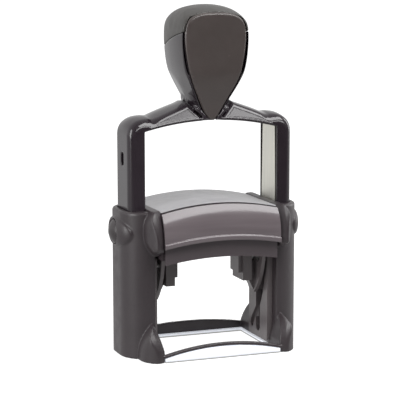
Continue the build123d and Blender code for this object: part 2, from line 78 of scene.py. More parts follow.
OPENING_HALF = WINDOW_HIGH[0] + 0.05
LEG_INNER = CORE_HIGH[0] - 1.0
LEG_OUTER = BOW_HIGH[0]
LEG_HALF_Y = 9.9
LEG_CORNER = 3.6
COLUMN_OUTER = 41.2
COLUMN_HALF_Y = 15.8
COLUMN_CORNER = 11.5
COLUMN_INNER = CAM_HIGH[0]
RIM_Z = 65.0
FRONT_Y = 24.5
GROUND_Z = FRAME_LOW[2]
AXLE_Z = (AXLE_LOW[2] + AXLE_HIGH[2]) / 2
BUTTON_Z = (BUTTON_LOW[2] + BUTTON_HIGH[2]) / 2
BUTTON_R = (BUTTON_HIGH[2] - BUTTON_LOW[2]) / 2
STROKE = 33.0

FINE = 0.34
COARSE = 0.42


# ------------------------------------------------------------------ distance fields (millimetres)


def smooth_max(a, b, k):
    """Intersection with its edge rounded over a width k."""
    h = np.maximum(k - np.abs(a - b), 0.0) / k
    return np.maximum(a, b) + h * h * k * 0.25


def smooth_min(a, b, k):
    """Union with its inner corner filled over a width k."""
    return -smooth_max(-a, -b, k)


def length2(a, b):
    return np.sqrt(a * a + b * b)


def rounded_box(a, b, half_a, half_b, radius):
    """2-D box centred on 0 with round corners."""
    qa = np.abs(a) - half_a + radius
    qb = np.abs(b) - half_b + radius
    outside = length2(np.maximum(qa, 0), np.maximum(qb, 0))
    return outside + np.minimum(np.maximum(qa, qb), 0) - radius


def box3(p, low, high, radius=0.0):
    """Box between two corners, with round edges."""
    q = [np.abs(v - (lo + hi) / 2) - (hi - lo) / 2 + radius for v, lo, hi in zip(p, low, high)]
    outside = np.sqrt(sum(np.maximum(v, 0) ** 2 for v in q))
    return outside + np.minimum(np.maximum(np.maximum(q[0], q[1]), q[2]), 0) - radius


def circle_through(p0, p1, p2):
    """Centre and radius of the circle through three points."""
    (ax, ay), (bx, by), (cx, cy) = p0, p1, p2
    d = 2 * (ax * (by - cy) + bx * (cy - ay) + cx * (ay - by))
    sa, sb, sc = ax * ax + ay * ay, bx * bx + by * by, cx * cx + cy * cy
    ux = (sa * (by - cy) + sb * (cy - ay) + sc * (ay - by)) / d
    uy = (sa * (cx - bx) + sb * (ax - cx) + sc * (bx - ax)) / d
    return ux, uy, math.hypot(ax - ux, ay - uy)


def disc(a, b, *points):
    """Distance to the disc whose rim runs through three points."""
    ux, uy, radius = circle_through(*points)
    return length2(a - ux, b - uy) - radius


def half_plane(a, b, start, end):
    """Distance to the line from start to end, positive on its right."""
    da, db = end[0] - start[0], end[1] - start[1]
    size = math.hypot(da, db)
    return ((a - start[0]) * db - (b - start[1]) * da) / size


def chaikin(points, rounds=4):
    """Corner cutting: a smooth curve from a few control points."""
    points = np.array(points, float)
    for _ in range(rounds):
        first, second = points[:-1], points[1:]
        cut = np.empty((2 * len(first), 2))
        cut[0::2] = 0.75 * first + 0.25 * second
        cut[1::2] = 0.25 * first + 0.75 * second
        points = np.vstack([points[:1], cut, points[-1:]])
    return points


def polygon(a, b, corners):
    """Signed distance to a closed polygon, negative inside."""
    best = np.full(a.shape, 1e9, np.float32)
    inside = np.zeros(a.shape, bool)
    for (x0, y0), (x1, y1) in zip(corners, np.roll(corners, -1, axis=0)):
        ex, ey = x1 - x0, y1 - y0
        size = ex * ex + ey * ey
        if size < 1e-12:
            continue
        wx, wy = a - x0, b - y0
        t = np.clip((wx * ex + wy * ey) / size, 0, 1)
        best = np.minimum(best, (wx - t * ex) ** 2 + (wy - t * ey) ** 2)
        crosses = (y0 > b) != (y1 > b)
        if abs(ey) > 1e-9:
            inside ^= crosses & (a < ex * (b - y0) / ey + x0)
    return np.where(inside, -1.0, 1.0) * np.sqrt(best)


def arch(x, low, rise):
    """Height of an arch across the opening."""
    return low + rise * (1 - (x / OPENING_HALF) ** 2)


# ------------------------------------------------------------------ meshing


def crossed_edges(field, axis):
    """Grid edges along an axis that the surface crosses.

    Gives the first cell of each, the point where it is crossed, and whether it starts inside.
    """
    first = [slice(None)] * 3
    second = [slice(None)] * 3
    first[axis], second[axis] = slice(0, -1), slice(1, None)
    before, after = field[tuple(first)], field[tuple(second)]
    crossed = (before < 0) != (after < 0)
    before, after = before[crossed], after[crossed]
    cells = np.argwhere(crossed)
    points = cells.astype(float)
    points[:, axis] += before / (before - after)
    return cells, points, before < 0


def surface_nets(field, low, step):
    """One vertex per cell that the surface crosses, one quad per crossed grid edge."""
    strides = np.array([field.shape[1] * field.shape[2], field.shape[2], 1])
    cells, points, quads = [], [], []
    for axis in range(3):
        u, v = (axis + 1) % 3, (axis + 2) % 3
        edges, crossings, starts_inside = crossed_edges(field, axis)
        ring = []
        for du, dv in ((0, 0), (-1, 0), (-1, -1), (0, -1)):
            cell = edges.copy()
            cell[:, u] += du
            cell[:, v] += dv
            ring.append(cell @ strides)
            points.append(crossings)
        cells += ring
        quad = np.stack(ring, axis=1)
        quad[~starts_inside] = quad[~starts_inside][:, ::-1]
        quads.append(quad)
    used, index = np.unique(np.concatenate(cells), return_inverse=True)
    points = np.concatenate(points)
    count = np.bincount(index)
    verts = np.stack([np.bincount(index, points[:, k]) / count for k in range(3)], axis=1)
    corners = np.searchsorted(used, np.concatenate(quads))
    return verts * step + low, corners


def onto_surface(verts, field, rounds=2):
    """Moves the vertices onto the exact surface along the field's slope."""
    probe = 0.02
    # Where the field is almost flat, a move is held back to this length.
    flattest, longest = 0.3, 0.3
    for _ in range(rounds):
        x, y, z = verts.T
        here = field((x, y, z))
        slope = []
        for axis in range(3):
            moved = [x, y, z]
            moved[axis] = moved[axis] + probe
            slope.append((field(tuple(moved)) - here) / probe)
        slope = np.stack(slope, axis=1)
        size = np.maximum((slope**2).sum(axis=1), flattest)
        shift = np.clip(here / size, -longest, longest)
        verts = verts - slope * shift[:, None]
    return verts


def add_piece(name, mesh, material, body, stands_for):
    """New piece on a body, in place of a CAD node.
    """
    mesh.materials.clear()
    mesh.materials.append(material)
    piece = bpy.data.objects.new(name, mesh)
    bpy.context.collection.objects.link(piece)
    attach(piece, body)
    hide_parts(stands_for)
    return piece


def shell(name, field, box, step, body, material, stands_for):
    """Meshes a field and puts the result in place of a CAD node."""
    low, high = box[0] - 2 * step, box[1] + 2 * step
    counts = np.ceil((high - low) / step).astype(int) + 1
    axes = [(low[k] + step * np.arange(counts[k])).astype(np.float32) for k in range(3)]
    grid = np.meshgrid(*axes, indexing="ij")
    verts, quads = surface_nets(field(tuple(grid)), low, step)
    verts = onto_surface(verts, field)
    mesh = bpy.data.meshes.new(name)
    mesh.from_pydata((verts / MM).tolist(), [], quads.tolist())
    mesh.validate()
    mesh.shade_smooth()
    return add_piece(name, mesh, material, body, stands_for)


# ------------------------------------------------------------------ material nodes


def new_material(name):
    material = bpy.data.materials.new(name)
    material.use_nodes = True
    tree = material.node_tree
    return material, tree, tree.nodes["Principled BSDF"]


def add(tree, kind, **values):
    """Adds a shader node. Values that name an input set it, and the others set a property."""
    node = tree.nodes.new(kind)
    for key, value in values.items():
        label = key.title()
        if label in node.inputs and not hasattr(node, key):
            node.inputs[label].default_value = value
        else:
            setattr(node, key, value)
    return node


def noise(tree, scale, detail=3.0, stretch=(1, 1, 1)):
    """Noise over the object's own coordinates; scale is features per metre."""
    where = add(tree, "ShaderNodeTexCoord")
    mapping = add(tree, "ShaderNodeMapping", scale=stretch)
    texture = add(tree, "ShaderNodeTexNoise", scale=scale, detail=detail)
    tree.links.new(where.outputs["Object"], mapping.inputs["Vector"])
    tree.links.new(mapping.outputs["Vector"], texture.inputs["Vector"])
    return texture


def ramp(tree, source, low, high, low_at=0.35, high_at=0.65):
    """Colour ramp between two colours or grey levels."""
    node = add(tree, "ShaderNodeValToRGB")
    for element, at, value in zip(node.color_ramp.elements, (low_at, high_at), (low, high)):
        element.position = at
        element.color = (value,) * 3 + (1,) if isinstance(value, float) else (*value, 1)
    tree.links.new(source, node.inputs["Fac"])
    return node


def drive(tree, texture, shader, label, low, high):
    """Varies an input of the shader between two colours or grey levels with a texture."""
    node = ramp(tree, texture.outputs["Fac"], low, high)
    tree.links.new(node.outputs["Color"], shader.inputs[label])


def bump(tree, texture, shader, depth_mm):
    """Relief of the given depth that follows a texture."""
    node = add(tree, "ShaderNodeBump", strength=1.0, distance=depth_mm / MM)
    tree.links.new(texture.outputs["Fac"], node.inputs["Height"])
    tree.links.new(node.outputs["Normal"], shader.inputs["Normal"])


def split_axes(tree, vector):
    """The X, Y and Z outputs of a vector."""
    node = add(tree, "ShaderNodeSeparateXYZ")
    tree.links.new(vector, node.inputs[0])
    return node.outputs


def map_range(tree, source, start, end, low, high):
    """Maps a value from start..end to low..high."""
    node = add(tree, "ShaderNodeMapRange")
    for label, value in zip(("From Min", "From Max", "To Min", "To Max"), (start, end, low, high)):
        node.inputs[label].default_value = value
    tree.links.new(source, node.inputs["Value"])
    return node.outputs[0]


def shade(color, factor):
    """A darker or paler version of a colour."""
    return tuple(min(1.0, c * factor) for c in color)


def moulded(name, color, rough, grain_mm=0.35, grain_depth=0.02, painted_edge_highlight=1.25):
    """Moulded plastic: eroded grain, uneven sheen, and slightly paler edges that are a painted
    highlight.
    """
    material, tree, shader = new_material(name)
    cloud = noise(tree, 60.0)
    tint = ramp(tree, cloud.outputs["Fac"], shade(color, 0.92), shade(color, 1.08))
    # Painted highlight: sharp edges, found by their pointiness, are painted paler than the rest.
    geometry = add(tree, "ShaderNodeNewGeometry")
    edge = ramp(tree, geometry.outputs["Pointiness"], 0.0, 1.0, 0.52, 0.60)
    mix = add(tree, "ShaderNodeMix", data_type="RGBA")
    tree.links.new(edge.outputs["Color"], mix.inputs["Factor"])
    tree.links.new(tint.outputs["Color"], mix.inputs["A"])
    mix.inputs["B"].default_value = (*shade(color, painted_edge_highlight), 1)
    tree.links.new(mix.outputs["Result"], shader.inputs["Base Color"])
    sheen = noise(tree, 220.0)
    drive(tree, sheen, shader, "Roughness", rough * 0.88, min(1.0, rough * 1.12))
    grain = noise(tree, MM / grain_mm, 2.0)
    bump(tree, grain, shader, grain_depth)
    return material


def glossy_black(name):
    """Polished black plastic with faint ripples and smears."""
    material, tree, shader = new_material(name)
    cloud = noise(tree, 45.0)
    drive(tree, cloud, shader, "Base Color", (0.013, 0.009, 0.012), (0.019, 0.014, 0.018))
    smear = noise(tree, 90.0, 4.0, (1, 1, 0.4))
    drive(tree, smear, shader, "Roughness", 0.10, 0.17)
    ripple = noise(tree, 140.0, 1.0)
    bump(tree, ripple, shader, 0.012)
    shader.inputs["IOR"].default_value = 1.5
    return material


def window_plastic(name):
    """Tinted glossy plastic over a grey card, with fine mould flow lines."""
    material, tree, shader = new_material(name)
    flow = noise(tree, 120.0, 2.0, (0.25, 1, 3))
    drive(tree, flow, shader, "Base Color", (0.125, 0.104, 0.112), (0.138, 0.116, 0.124))
    drive(tree, flow, shader, "Roughness", 0.20, 0.27)
    bump(tree, flow, shader, 0.01)
    shader.inputs["Specular IOR Level"].default_value = 0.35
    shader.inputs["Coat Weight"].default_value = 0.25
    shader.inputs["Coat Roughness"].default_value = 0.14
    return material


def clear_plastic(name):
    """Pale clear plastic with a painted glow, and a grey painted shade line along its lower edge."""
    material, tree, shader = new_material(name)
    haze = noise(tree, 300.0)
    drive(tree, haze, shader, "Roughness", 0.10, 0.22)
    tint = ramp(tree, haze.outputs["Fac"], (0.70, 0.72, 0.78), (0.74, 0.76, 0.81))
    # Painted shade: below half a millimetre of height the plastic is painted dark grey, fading to its
    # tint by 0.9 mm, as a shade line where it meets the floor.
    where = add(tree, "ShaderNodeTexCoord")
    height = split_axes(tree, where.outputs["Object"])["Z"]
    above_edge = map_range(tree, height, 0.5 / MM, 0.9 / MM, 0.0, 1.0)
    mix = add(tree, "ShaderNodeMix", data_type="RGBA")
    tree.links.new(above_edge, mix.inputs["Factor"])
    mix.inputs["A"].default_value = (0.20, 0.20, 0.19, 1)
    tree.links.new(tint.outputs["Color"], mix.inputs["B"])
    tree.links.new(mix.outputs["Result"], shader.inputs["Base Color"])
    # Painted glow: the plastic's colour is also given off as light, so it stays pale without a lamp.
    tree.links.new(mix.outputs["Result"], shader.inputs["Emission Color"])
    shader.inputs["Emission Strength"].default_value = 0.5
    shader.inputs["Transmission Weight"].default_value = 0.25
    shader.inputs["IOR"].default_value = 1.49
    bump(tree, haze, shader, 0.01)
    return material


def brushed_steel(name, color, stretch, rough=0.3):
    """Rolled or drawn steel with fine lines along its length."""
    material, tree, shader = new_material(name)
    lines = noise(tree, 1500.0, 3.0, stretch)
    drive(tree, lines, shader, "Base Color", shade(color, 0.88), color)
    drive(tree, lines, shader, "Roughness", rough * 0.8, rough * 1.3)
    shader.inputs["Metallic"].default_value = 1.0
    bump(tree, lines, shader, 0.006)
    return material


def felt(name, color):
    """Inked felt: fine fibres with a faint sheen."""
    material, tree, shader = new_material(name)
    fibre = noise(tree, 3000.0, 4.0)
    drive(tree, fibre, shader, "Base Color", shade(color, 0.5), shade(color, 1.6))
    shader.inputs["Roughness"].default_value = 0.9
    shader.inputs["Sheen Weight"].default_value = 0.4
    bump(tree, fibre, shader, 0.15)
    return material


def rubber(name, color):
    """Matt rubber with a fine mottle."""
    material, tree, shader = new_material(name)
    cloud = noise(tree, 900.0, 3.0)
    drive(tree, cloud, shader, "Base Color", shade(color, 0.85), shade(color, 1.1))
    shader.inputs["Roughness"].default_value = 0.7
    bump(tree, cloud, shader, 0.03)
    return material


def card_paper(name):
    """Off-white card with short fibres."""
    material, tree, shader = new_material(name)
    fibre = noise(tree, 2500.0, 4.0, (1, 1, 0.4))
    drive(tree, fibre, shader, "Base Color", (0.78, 0.78, 0.75), (0.84, 0.84, 0.82))
    shader.inputs["Roughness"].default_value = 0.85
    bump(tree, fibre, shader, 0.02)
    return material


FRAME_PLASTIC = moulded("frame_plastic", (0.029, 0.022, 0.025), 0.40)
# Painted light: the inner parts get a paler copy of the frame plastic, raised to stand in for the
# light their faces catch inside the opening.
INNER_PLASTIC_PAINTED_LIGHT = moulded("inner_plastic", (0.095, 0.082, 0.084), 0.36)
# Painted light: the tray gets a paler copy of the frame plastic, to make up for the shade it lies in
# under the window's bead.
TRAY_PLASTIC_PAINTED_LIGHT = moulded("tray_plastic_painted_light", (0.050, 0.040, 0.044), 0.42)
COVER_GREY = moulded(
    "cover_grey", (0.29, 0.285, 0.295), 0.42, grain_mm=0.25, grain_depth=0.012, painted_edge_highlight=1.1
)
WINDOW_GREY = window_plastic("window_grey")
CARD = card_paper("card")
CLEAR_PLASTIC = clear_plastic("clear_plastic")
FOOT_RUBBER = rubber("foot_rubber", (0.03, 0.03, 0.03))
DIE_RUBBER = rubber("die_rubber", (0.30, 0.09, 0.07))
SPRING_STEEL = brushed_steel("spring_steel", (0.60, 0.60, 0.60), (1, 1, 0.2))
PIN_STEEL = brushed_steel("pin_steel", (0.62, 0.61, 0.60), (0.05, 1, 1))
CORE_STEEL = brushed_steel("core_steel", (0.78, 0.77, 0.70), (1, 1, 0.03), rough=0.38)
INK_FELT = felt("ink_felt", (0.010, 0.010, 0.030))
BUTTON_PLASTIC = moulded("button_plastic", (0.030, 0.024, 0.026), 0.34)
GLOSS_BLACK = glossy_black("gloss_black")
KNOB_SATIN = moulded("knob_satin", (0.062, 0.050, 0.047), 0.36, grain_mm=0.3, grain_depth=0.014)
CAP_SATIN = moulded("cap_satin", (0.034, 0.031, 0.028), 0.38, grain_mm=0.3, grain_depth=0.014)
TEXT_PLATE = moulded("text_plate_plastic", (0.62, 0.62, 0.60), 0.5)

CAD_MATERIALS = {
    "main_frame": FRAME_PLASTIC,
    "bridge": FRAME_PLASTIC,
    "ink_tray": TRAY_PLASTIC_PAINTED_LIGHT,
    "top_cover": COVER_GREY,
    "front_window": WINDOW_GREY,
    "rear_window": WINDOW_GREY,
    "front_label_card": CARD,
    "rear_label_card": CARD,
    "clear_base": CLEAR_PLASTIC,
    "base_feet": FOOT_RUBBER,
    "ink_pad": INK_FELT,
    "handle_bow": GLOSS_BLACK,
    "steel_core": CORE_STEEL,
    "knob_cap": KNOB_SATIN,
    "knob_front_plate": KNOB_SATIN,
    "knob_rear_plate": KNOB_SATIN,
    "carrier_axles": PIN_STEEL,
    "plate_carrier": INNER_PLASTIC_PAINTED_LIGHT,
    "cam_followers": PIN_STEEL,
    "text_plate": TEXT_PLATE,
    "text_rubber": DIE_RUBBER,
}
for side in ("right", "left"):
    CAD_MATERIALS["flip_cam_" + side] = INNER_PLASTIC_PAINTED_LIGHT
    CAD_MATERIALS["column_plug_" + side] = INNER_PLASTIC_PAINTED_LIGHT
    CAD_MATERIALS["spring_guide_" + side] = INNER_PLASTIC_PAINTED_LIGHT
    CAD_MATERIALS["return_spring_" + side] = SPRING_STEEL
    CAD_MATERIALS["button_spring_" + side] = SPRING_STEEL
    CAD_MATERIALS["lock_button_" + side] = BUTTON_PLASTIC

for node_name, material in CAD_MATERIALS.items():
    for place in nodes[node_name].material_slots:
        place.material = material


# ------------------------------------------------------------------ lower housing


def leg_section(x, y, grow):
    """Plan of a leg: flat inside, round corners outside."""
    half_x = 12.0
    middle = LEG_OUTER + grow - half_x
    rounded = rounded_box(x - middle, y, half_x, LEG_HALF_Y + grow, LEG_CORNER + grow)
    return np.maximum(rounded, LEG_INNER - grow - x)


def column_field(x, y, z):
    """Column with large round outer corners and a slightly crowned outer face."""
    half_x = 12.0
    crown = 0.7 * (y / COLUMN_HALF_Y) ** 2
    middle = COLUMN_OUTER - crown - half_x
    plan = rounded_box(x - middle, y, half_x, COLUMN_HALF_Y, COLUMN_CORNER)
    plan = smooth_max(plan, COLUMN_INNER - x, 0.6)
    return smooth_max(plan, z - RIM_Z, 1.4)


def bevel(front, side, back, across):
    """Flat cut over the edge between two faces, as deep and as wide as the last two values."""
    return (front / back + side / across + 1) / np.sqrt(1 / back**2 + 1 / across**2)


def foot_field(x, y, z):
    """Pointed foot: a front curve, an outer flank and the side of the opening, with a crisp ridge."""
    toe = -FRONT_Y - 0.4
    front = disc(y, z, (toe, 0.0), (toe + 2.2, 10.0), (-14.0, 17.2))
    flank = disc(x, z, (36.6, 0.0), (34.4, 10.0), (29.7, 17.2))
    plan = disc(x, y, (36.6, -14.0), (34.9, -20.5), (30.6, toe))
    inner = np.maximum(OPENING_HALF - x, half_plane(x, z, (27.0, 5.0), (29.9, 17.2)) * -1)
    outer = smooth_max(flank, plan, 2.0)
    to_tip = np.clip((17.6 - z) / 5, 0.15, 1)
    facet = bevel(front, inner, 1.2, 2.6 * to_tip)
    nose = smooth_max(smooth_max(front, outer, 0.35), facet, 0.3)
    return smooth_max(nose, smooth_max(inner, y + 12.0, 0.3), 0.3)


def cheek_field(x, y, z):
    """Leaf-shaped lobe beside a window."""
    front = disc(y, z, (-24.9, 49.8), (-23.63, 58.8), (-19.8, 65.7))
    flank = disc(x, z, (29.3, 46.4), (33.9, 56.0), (30.4, 66.0))
    plan = disc(x, y, (33.9, -14.5), (33.2, -19.8), (30.2, -24.9))
    under = half_plane(y, z, (-25.0, 49.4), (-17.0, 46.2))
    outer = smooth_max(flank, plan, 1.2)
    body = smooth_max(smooth_max(front, outer, 0.6), under, 1.2)
    body = smooth_max(body, bevel(front, OPENING_HALF - x, 1.7, 3.0), 0.4)
    body = smooth_max(body, OPENING_HALF - x, 0.4)
    return smooth_max(body, np.maximum(z - 65.9, y + 10.0), 0.6)


def eye_field(x, y, z):
    """Bulge round a side button, drawn out to points at the front and the back."""
    reach, height, proud = 13.4, 6.7, 2.1
    flat = COLUMN_HALF_Y - COLUMN_CORNER
    past = np.maximum(np.abs(y) - flat, 0)
    inward = np.maximum(x - COLUMN_OUTER + COLUMN_CORNER, 0.1)
    around = np.minimum(np.abs(y), flat) + COLUMN_CORNER * np.arctan2(past, inward)
    spread = ((z - BUTTON_Z) / height) ** 2 + (around / reach) ** 1.6
    dome = proud * np.sqrt(np.maximum(1 - spread, 0))
    wall = length2(past, inward) - COLUMN_CORNER
    # The two factors bring the slope of the field near one.
    return smooth_max((wall - dome) * 0.7, (spread - 1) * 3.0, 0.4)


def crossbar_field(x, y, z):
    """The two bars across the foot of the housing: a thin arched one in front, a low wall behind."""
    end, behind = 28.2, -5.0
    rise = arch(x, 0, 3.45)
    front_low = (behind, -FRONT_Y, 2.15)
    front_bar = box3((x, y, z - rise), front_low, (end, -FRONT_Y + 2.2, 3.55), 0.45)
    rear_block = box3((x, y, z), (behind, 22.4, 0), (end, FRONT_Y, 9), 0.4)
    rear_bar = np.maximum(rear_block, z - arch(x, 4.2, 2.3))
    return np.minimum(front_bar, rear_bar)


def leg_room_field(x, y, z):
    """Space in a column for the leg, and the upright slot for the carrier's axle."""
    cavity = np.maximum(leg_section(x, y, 0.35), z - 80)
    half = 2.3
    low = (COLUMN_INNER - 2, -half, AXLE_Z - STROKE - half)
    slot = box3((x, y, z), low, (LEG_INNER, half, AXLE_Z + half), 1.0)
    return np.minimum(cavity, slot)


def frame_field(p):
    """Lower housing, the same on both sides, with room for the legs and the pushed buttons."""
    x, y, z = np.abs(p[0]), p[1], p[2]
    front_y = -np.abs(y)
    body = column_field(x, y, z)
    body = smooth_min(body, eye_field(x, y, z), 0.4)
    side = box3((x, y, z), (OPENING_HALF, -18.0, 47.2), (LEG_INNER, 18.0, 65.9), 0.5)
    body = np.minimum(body, side)
    body = smooth_min(body, cheek_field(x, front_y, z), 0.3)
    body = smooth_min(body, foot_field(x, front_y, z), 0.3)
    body = np.minimum(body, crossbar_field(x, y, z))
    clear, dish_depth, stem_hole_r = 0.3, 1.9, 1.6
    from_button = length2(y, z - BUTTON_Z)
    dish = np.maximum(from_button - BUTTON_R - clear, COLUMN_OUTER - dish_depth - x)
    stem_hole = np.maximum(from_button - stem_hole_r, LEG_OUTER - x)
    body = smooth_max(body, -leg_room_field(x, y, z), 0.25)
    body = smooth_max(body, -dish, 0.5)
    body = np.maximum(body, -stem_hole)
    return np.maximum(body, GROUND_Z - z)


# ------------------------------------------------------------------ handle

# Underside of the arch: its height at the legs, and how far it rises to the middle.
UNDER_CORNER_Z = 99.3
UNDER_RISE = 4.0

# Outline of one half of the bow from the front, from the neck over the shoulder and down the leg.
SHOULDER = [(10.6, 111.5), (12.4, 110.6), (16.0, 109.4), (22.0, 107.3), (27.0, 105.2)]
SHOULDER += [(29.0, 105.8), (34.2, 105.1), (LEG_OUTER, 101.4), (LEG_OUTER, 94.0)]
TIP = (2.0, 103.4)
BOW_OUTLINE = np.vstack(
    [
        chaikin(SHOULDER),
        [(LEG_OUTER, BOW_LOW[2]), (-6.0, BOW_LOW[2]), (-6.0, TIP[1]), TIP],
    ]
)

# Height against half width at mid depth, width of the rim round a plate, and depth of a plate's
# face.
KNOB_HALF_X = [(104, 9.6), (109, 9.3), (112, 9.5), (115, 10.3), (119, 12.3), (125, 14.5)]
KNOB_HALF_X += [(134, 15.9), (141, 16.1), (147, 15.6), (156, 14.2)]
RIM_WIDTH = [(103, 0.3), (112, 0.5), (120, 1.0), (128, 1.5), (156, 1.5)]
PLATE_DEPTH = [(101, 9.8), (104, 10.1), (108, 10.7), (112, 11.7), (117, 13.3), (123, 14.7)]
PLATE_DEPTH += [(130, 15.0), (156, 15.0)]

# One half of a plate's outline, from its top edge down to its tip, and the joint round it.
PLATE_EDGE = [(0.0, 150.3), (7.6, 150.1), (13.6, 146.9), (14.5, 139.5), (13.4, 130.0)]
PLATE_EDGE += [(11.4, 121.5), (6.6, 112.5), (1.9, 103.3), (0.0, 103.3)]
PLATE_HALF = chaikin(PLATE_EDGE)
PLATE_OUTLINE = np.vstack([PLATE_HALF, PLATE_HALF[::-1] * (-1, 1)])
PLATE_GROOVE = 0.42

# Ridge that runs from the knob's side down the neck to the tip of a plate.
NECK_RIDGE = [(8.8, 1.5, 111.4), (6.9, 9.1, 108.3), (3.4, 9.6, 105.1)]


def under_arch(x):
    """Height of the underside of the arch."""
    return UNDER_CORNER_Z + UNDER_RISE * (1 - (x / LEG_INNER) ** 2)


def lookup(z, stations):
    """Smooth curve through (height, value) stations."""
    zs = np.array([s[0] for s in stations])
    vs = np.array([s[1] for s in stations])
    slopes = np.gradient(vs, zs)
    at = np.clip(np.searchsorted(zs, z) - 1, 0, len(zs) - 2)
    width = zs[at + 1] - zs[at]
    t = np.clip((z - zs[at]) / width, 0, 1)
    a = (2 * t**3 - 3 * t**2 + 1) * vs[at] + (t**3 - 2 * t**2 + t) * width * slopes[at]
    return a + (-2 * t**3 + 3 * t**2) * vs[at + 1] + (t**3 - t**2) * width * slopes[at + 1]


def knob_space(p):
    """The knob narrows to the rear; in these coordinates both halves are alike."""
    x, y, z = p
    rear = np.clip((y + 14) / 28, 0, 1)
    return np.abs(x) * (1 + 0.09 * rear), np.abs(y) * np.where(y > 0, 1.05, 1.0), z


def plate_field(p, grow=0.0):
    """Drop-shaped plate with a bevelled edge."""
    x, y, z = knob_space(p)
    outline = polygon(x, z, PLATE_OUTLINE) - grow
    depth = y - lookup(z, PLATE_DEPTH) + 0.3 * (x / 14) ** 2
    thickness = 1.6
    slab = np.maximum(depth - grow, -depth - thickness - grow)
    chamfer = (outline + depth) / math.sqrt(2) + 0.55
    return smooth_max(smooth_max(outline, slab, 0.3), chamfer, 0.3)


def knob_field(p):
    """Knob shell: full at mid depth, drawn in to a rim round each plate."""
    x, y, z = knob_space(p)
    face = lookup(z, PLATE_DEPTH) - 0.5
    lean = 0.6
    drawn_in = polygon(x, z, PLATE_OUTLINE) - lookup(z, RIM_WIDTH) - lean * (face - y)
    barrel = x - lookup(z, KNOB_HALF_X) + 0.004 * y * y
    side = smooth_max(barrel, drawn_in / math.hypot(1, lean), 0.6)
    crown = z - CAP_HIGH[2] + 2.6 * (x / 14) ** 2 + 1.5 * (y / 14.5) ** 2
    top = smooth_max(side, crown, 6.5)
    closed = smooth_max(top, y - face, 0.9)
    # A flat facet hollows the side under the plate, but leaves the neck standing.
    facet = (x - 12.6) * 0.88 + (y - 12.5) * 0.104 - (z - 122.0) * 0.462
    neck = x - 9.6 + 3.4 * (y / 12) ** 4
    closed = smooth_max(closed, np.minimum(facet, neck), 0.3)
    return smooth_max(closed, under_arch(np.minimum(x, LEG_INNER)) + 0.3 - z, 0.5)


def seam_height(y):
    """Height of the seam between the knob and its cap, which drops to the rear."""
    back = y + 14
    return 142.0 - 0.17 * back - 0.0032 * back * back


def rod(p, start, end, radius):
    """Distance to a straight round-ended rod."""
    run = [b - a for a, b in zip(start, end)]
    offset = [v - a for v, a in zip(p, start)]
    along = sum(o * r for o, r in zip(offset, run)) / sum(r * r for r in run)
    along = np.clip(along, 0, 1)
    return np.sqrt(sum((o - along * r) ** 2 for o, r in zip(offset, run))) - radius


def bow_field(x, y, z):
    """Round legs and shoulders, an arch with leaning faces, and a thin lip along its underside."""
    face_lean, lip_radius, lip_end = 0.38, 0.6, 28.6
    ya = np.abs(y)
    height = z - under_arch(np.minimum(x, LEG_INNER))
    crown = 1.7 * (y / LEG_HALF_Y) ** 2 * np.clip((z - 92) / 8, 0, 1)
    outer = polygon(x, z + crown, BOW_OUTLINE)
    arch_part = np.clip((31 - x) / 5, 0, 1)
    recess = face_lean * np.maximum(height - 1.7, 0) * arch_part
    sides = ya - LEG_HALF_Y + recess
    radius = 3.4 - 1.9 * np.clip((30 - x) / 6, 0, 1)
    corner = length2(np.maximum(outer + radius, 0), np.maximum(sides + radius, 0))
    body = corner + np.minimum(np.maximum(outer, sides) + radius, 0) - radius
    opening = np.maximum(x - LEG_INNER, height)
    body = smooth_max(body, -opening, 0.5)
    lip = length2(height - 0.75, ya - LEG_HALF_Y + 0.25) - lip_radius
    return smooth_min(body, np.maximum(lip, x - lip_end), 0.25)


def core_gap(x, y, z):
    """Space the steel core takes up in the legs and through the arch."""
    half = CORE_HIGH[1] + 0.05
    outer = LEG_INNER + 1.05
    leg = box3((x, y, z), (LEG_INNER - 2, -half, 30), (outer, half, 99.9))
    run = UNDER_CORNER_Z + 0.6 + (UNDER_RISE + 1.0) * (1 - (x / LEG_INNER) ** 2)
    strip = np.abs(z - run - 0.5) - 0.62
    through = np.maximum(strip, np.maximum(np.abs(y) - half, x - outer))
    return np.minimum(leg, through)


def lock_notch(x, y, z, low, high, radius):
    """Notch in the outer face of a leg that the stem of a side button can enter."""
    half, depth = 1.7, 2.0
    return box3((x, y, z), (LEG_OUTER - depth, -half, low), (LEG_OUTER + 3, half, high), radius)


def handle_field(p):
    """Bow and lower knob in one moulding, up to the seam under the cap."""
    x, y, z = np.abs(p[0]), p[1], p[2]
    body = smooth_min(bow_field(x, y, z), knob_field(p), 0.5)
    for start, end in zip(NECK_RIDGE, NECK_RIDGE[1:]):
        body = smooth_min(body, rod((x, np.abs(y), z), start, end, 0.75), 0.9)
    body = smooth_max(body, -plate_field(p, PLATE_GROOVE), 0.2)
    body = smooth_max(body, z - seam_height(y) + 0.02, 0.6)
    pocket = box3((x, y, z), (LEG_INNER, -7.6, 30), (LEG_OUTER - 1.3, 7.6, 85), 0.6)
    pressed_notch = lock_notch(x, y, z, 84.1, 89.7, 1.0)
    rest_notch = lock_notch(x, y, z, 53.4, 57.0, 0.6)
    notches = np.minimum(pressed_notch, rest_notch)
    gaps = np.minimum(np.minimum(core_gap(x, y, z), pocket), notches)
    return smooth_max(body, -gaps, 0.15)


def cap_field(p):
    """Cap of the knob, down to the seam."""
    body = smooth_max(knob_field(p), -plate_field(p, PLATE_GROOVE), 0.2)
    return smooth_max(body, seam_height(p[1]) + 0.02 - p[2], 0.6)


def front_plate_field(p):
    return np.maximum(plate_field(p), p[1])


def rear_plate_field(p):
    return np.maximum(plate_field(p), -p[1])


